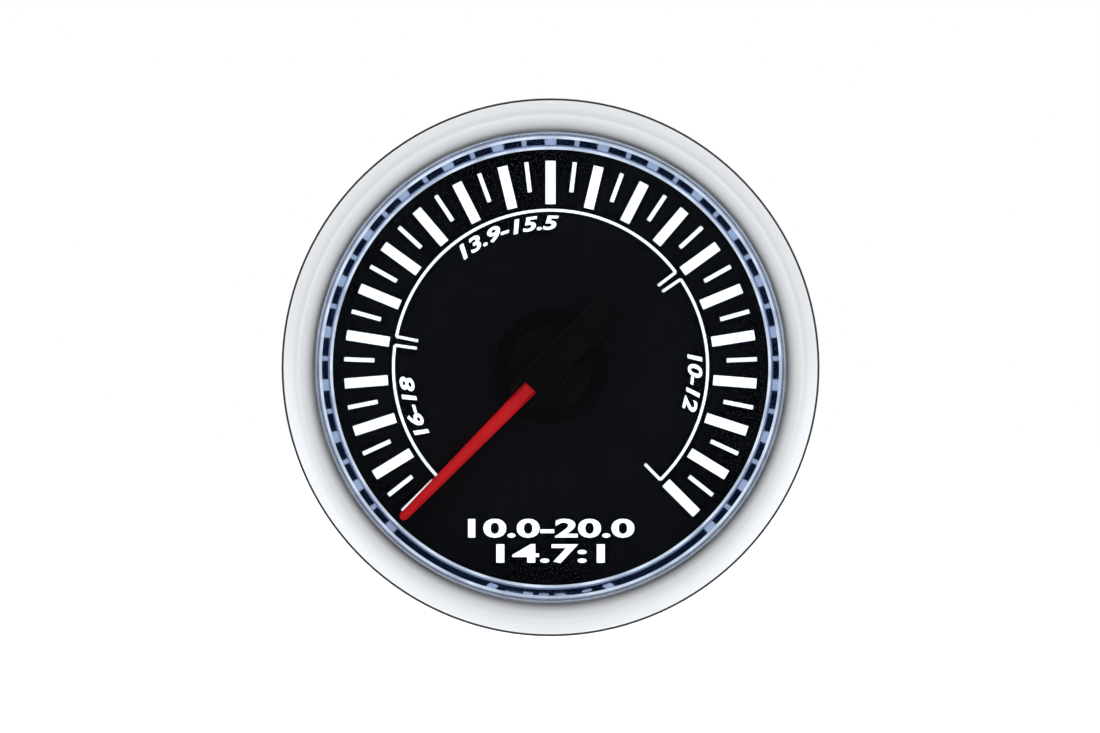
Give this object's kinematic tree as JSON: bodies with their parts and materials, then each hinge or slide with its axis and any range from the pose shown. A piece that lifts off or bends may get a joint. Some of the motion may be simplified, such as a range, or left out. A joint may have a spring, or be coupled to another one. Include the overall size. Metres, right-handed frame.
{
  "type": "air fuel ratio gauge",
  "caption": "Round panel gauge with a lit dial, a red stepper driven pointer, a satin bezel, rear studs and two rear sockets.",
  "frame": {"origin": "on the gauge's axis, in the plane of the panel that the flange rests on", "axes": "-Y along the axis towards the driver, so the dial faces -Y; +Z is 12 o'clock, +X is the driver's right"},
  "size_m": [0.06, 0.0635, 0.06],
  "materials": {
    "satin_silver": "satin",
    "smoked_lens": "clear gloss, lightly smoked",
    "black_rubber": "matt",
    "black_plastic": "fine moulded grain",
    "halo_clear": "clear, metallised behind",
    "dial_black": "printed film",
    "lit_white": "opal, lit from behind",
    "white_plastic": "matt",
    "board_green": "solder mask",
    "lamp_amber": "clear resin",
    "lamp_red": "clear resin",
    "pointer_red": "lit red acrylic",
    "pointer_black": "matt",
    "gear_ivory": "satin",
    "bright_steel": "ground",
    "zinc_steel": "zinc plated",
    "core_steel": "rolled",
    "pinion_brass": "turned",
    "magnet_grey": "sintered",
    "copper_wire": "enamelled wire",
    "pin_gold": "plated",
    "motor_black": "moulded",
    "chip_black": "moulded epoxy",
    "can_silver": "drawn",
    "part_brown": "ceramic",
    "socket_ivory": "nylon"
  },
  "bodies": {
    "housing": {"bezel": "satin_silver", "lens": "smoked_lens", "lens_gasket": "black_rubber", "front_cup": "black_plastic", "body_can": "black_plastic", "rear_cover": "black_plastic", "rear_cover_screws": "zinc_steel", "mounting_studs": "zinc_steel", "halo_ring": "halo_clear", "dial_face": "dial_black", "light_guide": "lit_white", "light_box": "white_plastic", "lamp_board": "board_green", "dial_lamps": "lamp_amber", "pointer_lamps": "lamp_red", "lamp_board_screws": "zinc_steel", "stator_plate": "core_steel", "stator_yoke": "core_steel", "coil_bobbins": "gear_ivory", "coil_windings": "copper_wire", "coil_terminals": "pin_gold", "motor_front_cover": "motor_black", "motor_rear_cover": "motor_black", "main_board": "board_green", "main_board_screws": "zinc_steel", "controller_chip": "chip_black", "voltage_regulator": "chip_black", "filter_capacitors": "can_silver", "surface_parts": "part_brown", "board_link_base": "chip_black", "board_link_pins": "pin_gold", "power_socket": "socket_ivory", "power_pins": "pin_gold", "sensor_socket": "socket_ivory", "sensor_pins": "pin_gold"},
    "pointer": {"pointer_blade": "pointer_red", "pointer_hub": "pointer_black", "pointer_cap": "pointer_black", "output_shaft": "bright_steel", "output_wheel": "gear_ivory"},
    "middle_wheel_set": {"middle_wheel": "gear_ivory", "middle_arbor": "bright_steel"},
    "rotor": {"rotor_pinion": "pinion_brass", "rotor_magnet": "magnet_grey"}
  },
  "joints": [
    {"name": "pointer_sweep", "type": "hinge", "parent": "housing", "child": "pointer", "pos_m": [0, 0, 0], "axis": [0, 1, 0], "range_deg": [0, 270]},
    {"name": "middle_wheel_turn", "type": "hinge", "parent": "housing", "child": "middle_wheel_set", "pos_m": [0, 0, -0.01024], "axis": [0, 1, 0], "continuous": true},
    {"name": "rotor_turn", "type": "hinge", "parent": "housing", "child": "rotor", "pos_m": [0, 0, -0.01648], "axis": [0, 1, 0], "continuous": true}
  ],
  "couplings": [
    {"joint": "middle_wheel_turn", "follows": "pointer_sweep", "ratio": -15},
    {"joint": "rotor_turn", "follows": "pointer_sweep", "ratio": 180}
  ]
}
